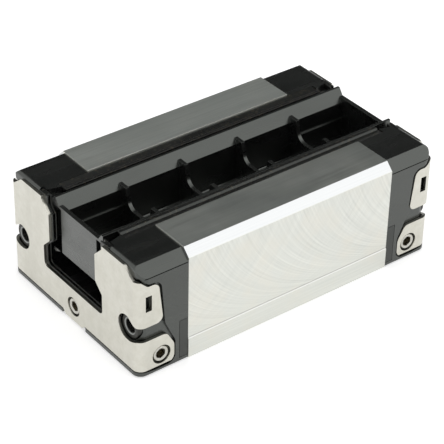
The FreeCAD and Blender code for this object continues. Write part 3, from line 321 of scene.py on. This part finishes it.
finishes = {
    "ground_steel": ground_steel(),
    "plate_steel": stainless_sheet(),
    "cap_plastic": moulded_black("cap_plastic", 0.005, 0.26, 0.10, ior=1.80),
    "tray_plastic": moulded_black("tray_plastic", 0.005, 0.27, 0.14, ior=1.80, end_face_sheen=0.05),
    "guide_plastic": moulded_black("guide_plastic", 0.010, 0.42, 0.16),
    "seal_rubber": moulded_black("seal_rubber", 0.007, 0.28, 0.30, ior=1.52, stain=0.8),
    "roller_steel": turned_metal("roller_steel", (0.42, 0.425, 0.42), 0.28),
    "screw_steel": turned_metal("screw_steel", (0.060, 0.060, 0.056), 0.40, rim_highlight=True),
    "plug_steel": turned_metal("plug_steel", (0.58, 0.57, 0.52), 0.28),
}
# A darker, browner steel for the set screws' sockets: painted shade in the recess
shaded_socket_steel = turned_metal("shaded_socket_steel", (0.42, 0.39, 0.31), 0.30)

slot_of = {part["node"]: part["material_slot"] for part in frame["record"]["subparts"]}
body_of_node = {name: thing["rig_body"] for name, thing in nodes.items()}
for name, thing in nodes.items():
    thing.data.materials.clear()
    thing.data.materials.append(finishes[slot_of[name]])


# Pieces made from the carriage's own shapes

def shown_piece(name, form, stands_for):
    """A finished piece from a bmesh, in the place of one CAD node, whose body and finish it takes."""
    mesh = bpy.data.meshes.new(name)
    form.to_mesh(mesh)
    form.free()
    mesh.shade_smooth()
    piece = bpy.data.objects.new(name, mesh)
    bpy.context.scene.collection.objects.link(piece)
    even = piece.modifiers.new("even_shading", "WEIGHTED_NORMAL")
    even.weight = 90
    even.keep_sharp = True
    slot = slot_of[stands_for]
    mesh.materials.append(finishes[slot])
    if slot == "plug_steel":
        mesh.materials.append(shaded_socket_steel)
    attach(piece, body_of_node[stands_for])
    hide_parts(stands_for)
    return piece


def turn_at(edge):
    """The angle between an edge's two faces, in degrees."""
    return math.degrees(abs(edge.calc_face_angle(0.0))) if edge.is_manifold else 0.0


def ease_corners(form, width, segments):
    """Round the edges that turn by more than a curve's facets do, and shade those still sharp as sharp."""
    curve_facet = 28.0
    sharp_turn = 50.0
    corners = [edge for edge in form.edges if turn_at(edge) > curve_facet]
    bmesh.ops.bevel(form, geom=corners, affect="EDGES", offset_type="OFFSET", offset=width * MM,
                    segments=segments, profile=0.5, material=-1, clamp_overlap=True)
    for edge in form.edges:
        if turn_at(edge) > sharp_turn:
            edge.smooth = False


def joined_form(node):
    """A bmesh of a CAD node with its loose triangles joined into whole faces."""
    form = bmesh.new()
    form.from_mesh(nodes[node].data)
    bmesh.ops.remove_doubles(form, verts=form.verts, dist=0.002 * MM)
    bmesh.ops.dissolve_limit(form, angle_limit=math.radians(0.4), verts=form.verts, edges=form.edges)
    return form


def sink_latches(form):
    """Carry the cap's pockets behind the latch holes deeper in, so that the holes read dark."""
    pocket_floor = 33.65
    deeper_floor = 32.4
    for vert in form.verts:
        along, across, up = (abs(value) / MM for value in vert.co)
        if 53.2 < along < 55.2 and 24.0 < up < 29.6 and across > pocket_floor:
            vert.co.y = math.copysign(deeper_floor * MM, vert.co.y)


def lift_seal_edge(form):
    """Bring the side seal's outer edge up to just under the leg's top, where it closes the corner."""
    for vert in form.verts:
        if abs(vert.co.y) > 17.9 * MM and vert.co.z > 38.5 * MM:
            vert.co.z = 39.3 * MM


def ease_node(node, width, segments=2):
    """A CAD node's own shape with rounded edges of a given width in millimetres."""
    form = joined_form(node)
    if node.startswith("end_cap"):
        sink_latches(form)
    if node.startswith("side_seal"):
        lift_seal_edge(form)
    ease_corners(form, width, segments)
    shown_piece(f"{node}_finished", form, node)


# Screws and rollers

def ring(form, radius, height, sides=24):
    """The edges of a level circle or hexagon."""
    made = bmesh.ops.create_circle(form, segments=sides, radius=radius * MM)
    edges = list({edge for vert in made["verts"] for edge in vert.link_edges})
    bmesh.ops.translate(form, verts=made["verts"], vec=(0, 0, height * MM))
    return edges


def carry_on(form, edges, now, steps):
    """Draw a ring of edges out through (radius, height) steps from its radius and height now."""
    for then in steps:
        made = bmesh.ops.extrude_edge_only(form, edges=edges)["geom"]
        verts = [item for item in made if isinstance(item, bmesh.types.BMVert)]
        edges = [item for item in made if isinstance(item, bmesh.types.BMEdge)]
        wider = then[0] / now[0]
        bmesh.ops.scale(form, verts=verts, vec=(wider, wider, 1))
        bmesh.ops.translate(form, verts=verts, vec=(0, 0, (then[1] - now[1]) * MM))
        now = then
    return edges


def close_ring(form, edges):
    """Fill a ring that is left open."""
    bmesh.ops.holes_fill(form, edges=edges, sides=0)


def socket_screw(outline, across_flats, depth, socket_finish=0):
    """A screw about its own axis with its top at height 0. outline holds (radius, height) steps from the
    top down, and socket_finish says which of the piece's finishes the socket takes."""
    form = bmesh.new()
    corner = across_flats / math.sqrt(3)
    rim = corner + 0.42
    lead_in = -0.30
    mouth = lead_in - 0.02
    top = outline[0]
    face = ring(form, *top)
    close_ring(form, carry_on(form, face, top, outline[1:]))
    inner = carry_on(form, face, top, [(rim, top[1]), (corner + 0.02, lead_in)])
    hexagon = ring(form, corner, mouth, sides=6)
    cut = bmesh.ops.subdivide_edges(form, edges=hexagon, cuts=3)["geom"]
    hexagon = [item for item in cut if isinstance(item, bmesh.types.BMEdge) and not item.link_faces]
    bmesh.ops.bridge_loops(form, edges=inner + hexagon)
    outside = set(form.faces)
    close_ring(form, carry_on(form, hexagon, (corner, mouth), [(corner, -depth), (0.3, -depth - 0.7)]))
    for side in form.faces:
        if side not in outside:
            side.material_index = socket_finish
    bmesh.ops.recalc_face_normals(form, faces=form.faces)
    return form


def placed(form, part, point, outwards):
    """Add a part to a form, its own upright axis turned outwards, its origin at a point."""
    mesh = bpy.data.meshes.new("part")
    part.to_mesh(mesh)
    turn = Vector(outwards).to_track_quat("Z", "Y").to_matrix().to_4x4()
    mesh.transform(Matrix.Translation(Vector(point) * MM) @ turn)
    form.from_mesh(mesh)
    bpy.data.meshes.remove(mesh)


def fit_screws(side, outwards):
    """The two cap screws and the three set screws at one end of the carriage."""
    cap_screw = socket_screw([(3.75, 0.0), (4.1, -0.12), (4.25, -0.4), (4.25, -4.9), (4.1, -5.0),
                              (2.5, -5.0), (2.5, -24.4), (1.9, -25.0)], across_flats=4.0, depth=2.6)
    screws = bmesh.new()
    for across in (SCREW_ACROSS, -SCREW_ACROSS):
        placed(screws, cap_screw, ((PLATE_FRONT - 1.2) * outwards, across, SCREW_UP), (outwards, 0, 0))
    cap_screw.free()
    shown_piece(f"socket_screws_{side}", screws, f"cap_screws_{side}")

    set_screw = socket_screw([(2.45, 0.0), (2.9, -0.45), (2.9, -6.5), (2.4, -7.0)],
                             across_flats=3.1, depth=4.0, socket_finish=1)
    front = bmesh.new()
    placed(front, set_screw, ((PLATE_FRONT - 0.2) * outwards, 0, FRONT_PLUG_UP), (outwards, 0, 0))
    shown_piece(f"front_set_screw_{side}", front, f"front_plug_{side}")
    pair = bmesh.new()
    along = (PLATE_FRONT - SIDE_PLUG_SETBACK) * outwards
    for across in (1, -1):
        placed(pair, set_screw, (along, SIDE_PLUG_OUT * across, SIDE_PLUG_UP), (0, across, 0))
    set_screw.free()
    shown_piece(f"side_set_screws_{side}", pair, f"side_plugs_{side}")


def roller_form():
    """A roller about its own axis, with broken edges."""
    radius, half_length = 2.25, 2.2
    end_radius, shoulder = 2.02, 1.98
    form = bmesh.new()
    end = ring(form, end_radius, half_length)
    other = carry_on(form, end, (end_radius, half_length),
                     [(radius, shoulder), (radius, -shoulder), (end_radius, -half_length)])
    close_ring(form, end)
    close_ring(form, other)
    bmesh.ops.recalc_face_normals(form, faces=form.faces)
    return form


def lay_rollers(level, lean, rollers=15, pitch=4.9):
    """The far and the near roller row at one level. lean is -1 or 1, for an axis that leans at 45 degrees
    down or up towards the channel."""
    roller = roller_form()
    for side, sign in (("far", 1), ("near", -1)):
        row = bmesh.new()
        for count in range(rollers):
            along = (count - (rollers - 1) / 2) * pitch
            placed(row, roller, (along, ROW_ACROSS * sign, ROW_HEIGHTS[level]), (0, -sign, lean))
        shown_piece(f"rollers_{level}_{side}", row, f"roller_row_{level}_{side}")
    roller.free()


fit_screws("right", 1)
fit_screws("left", -1)
lay_rollers("lower", -1)
lay_rollers("upper", 1)

ease_node("runner_block", 0.07)
for end in ("right", "left"):
    ease_node(f"end_cap_{end}", 0.22)
for end in ("right", "left"):
    ease_node(f"end_plate_{end}", 0.12)
for end in ("right", "left"):
    ease_node(f"end_seal_{end}", 0.24, segments=3)
for side in ("far", "near"):
    for end in ("right", "left"):
        ease_node(f"return_guide_{side}_{end}", 0.15)
for strip in ("centre_strip", "lower_strip", "upper_strip", "side_seal"):
    for side in ("far", "near"):
        ease_node(f"{strip}_{side}", 0.12)
ease_node("transport_rail", 0.10)


# Camera, lights and table

def way_out(azimuth, elevation):
    """The direction from the carriage at an azimuth from its near side and an elevation, in degrees."""
    azimuth, elevation = math.radians(azimuth), math.radians(elevation)
    return Vector((math.sin(azimuth) * math.cos(elevation), -math.cos(azimuth) * math.cos(elevation),
                   math.sin(elevation)))


def looking_back(away, distance):
    """A place at a distance in metres in one direction, turned to face the carriage."""
    return Matrix.Translation(away * distance) @ away.to_track_quat("Z", "Y").to_matrix().to_4x4()


def aim_camera():
    """The photograph's view: a long lens from the near left, 35 degrees above the table."""
    roll = math.radians(1.32)
    back = way_out(-38.119, 34.736)
    level = Vector((0, 0, 1)).cross(back).normalized()
    upright = back.cross(level)
    right = level * math.cos(roll) + upright * math.sin(roll)
    up = upright * math.cos(roll) - level * math.sin(roll)
    place = (back * 582.541 - right * 0.562 - up * 4.604 + Vector((0, 0, 20))) * MM
    camera = bpy.data.objects.new("camera", bpy.data.cameras.new("camera"))
    camera.data.sensor_width = 36.0
    camera.data.lens = 147.024
    camera.data.clip_start = 0.01
    camera.data.clip_end = 20.0
    camera.matrix_world = Matrix.Translation(place) @ Matrix((right, up, back)).transposed().to_4x4()
    bpy.context.scene.collection.objects.link(camera)
    bpy.context.scene.camera = camera


def softbox(name, azimuth, elevation, distance, width, height, radiance):
    """An area lamp facing the carriage, in degrees and metres. A radiance of 1 shows as white."""
    lamp = bpy.data.lights.new(name, "AREA")
    lamp.shape = "RECTANGLE"
    lamp.size = width
    lamp.size_y = height
    lamp.energy = radiance * math.pi * width * height
    holder = bpy.data.objects.new(name, lamp)
    holder.matrix_world = looking_back(way_out(azimuth, elevation), distance)
    bpy.context.scene.collection.objects.link(holder)


def seen_directly(tree):
    """1 for what the camera, a reflection or a clear material sees, and 0 for light on the carriage."""
    path = tree.nodes.new("ShaderNodeLightPath")
    seen = path.outputs["Is Camera Ray"]
    for ray in ("Is Glossy Ray", "Is Transmission Ray"):
        either = tree.nodes.new("ShaderNodeMath")
        either.operation = "MAXIMUM"
        tree.links.new(seen, either.inputs[0])
        tree.links.new(path.outputs[ray], either.inputs[1])
        seen = either.outputs[0]
    return seen


def white_surroundings():
    """A world that is seen white and lights the carriage less strongly."""
    world = bpy.data.worlds.new("studio")
    bpy.context.scene.world = world
    world.use_nodes = True
    tree = world.node_tree
    background = tree.nodes["Background"]
    background.inputs["Color"].default_value = (1, 1, 1, 1)
    strength = tree.nodes.new("ShaderNodeMapRange")
    strength.inputs["To Min"].default_value = 0.64
    strength.inputs["To Max"].default_value = 1.0
    tree.links.new(seen_directly(tree), strength.inputs["Value"])
    tree.links.new(strength.outputs[0], background.inputs["Strength"])


def bare_finish(name):
    """A material with an output node alone, and the socket that its shader goes to."""
    finish = bpy.data.materials.new(name)
    finish.use_nodes = True
    finish.node_tree.nodes.clear()
    output = finish.node_tree.nodes.new("ShaderNodeOutputMaterial")
    return finish, output.inputs["Surface"]


def lay_table():
    """A table of white paper that takes a faint shadow and is otherwise seen white."""
    bpy.ops.mesh.primitive_plane_add(size=12.0, location=(0, 0, -0.2 * MM))
    table = bpy.context.object
    table.name = "table"
    finish, surface = bare_finish("table")
    tree = finish.node_tree
    paper = tree.nodes.new("ShaderNodeBsdfDiffuse")
    paper.inputs["Color"].default_value = (0.80, 0.80, 0.80, 1)
    lift = tree.nodes.new("ShaderNodeEmission")
    amount = tree.nodes.new("ShaderNodeMath")
    amount.operation = "MULTIPLY"
    amount.inputs[1].default_value = 0.50
    total = tree.nodes.new("ShaderNodeAddShader")
    tree.links.new(seen_directly(tree), amount.inputs[0])
    tree.links.new(amount.outputs[0], lift.inputs["Strength"])
    tree.links.new(paper.outputs[0], total.inputs[0])
    tree.links.new(lift.outputs[0], total.inputs[1])
    tree.links.new(total.outputs[0], surface)
    table.data.materials.append(finish)


def hang_flag():
    """A dark flag behind, for reflections alone: it gives the upward faces their darker tone."""
    bpy.ops.mesh.primitive_plane_add(size=1.0)
    flag = bpy.context.object
    flag.name = "flag"
    away = Vector((0.507, 0.646, 0.62)).normalized()
    flag.matrix_world = looking_back(away, 1.0) @ Matrix.Diagonal((1.5, 0.95, 1, 1))
    finish, surface = bare_finish("flag")
    glow = finish.node_tree.nodes.new("ShaderNodeEmission")
    glow.inputs["Color"].default_value = (0.07, 0.074, 0.071, 1)
    finish.node_tree.links.new(glow.outputs[0], surface)
    flag.data.materials.append(finish)
    flag.visible_camera = False
    flag.visible_diffuse = False
    flag.visible_transmission = False
    flag.visible_shadow = False


aim_camera()
white_surroundings()
lay_table()
softbox("front_softbox", azimuth=38, elevation=38, distance=0.9, width=0.8, height=0.55, radiance=0.62)
softbox("overhead_softbox", azimuth=0, elevation=88, distance=1.1, width=0.9, height=0.9, radiance=0.9)
hang_flag()
bpy.context.scene.view_settings.view_transform = "Standard"
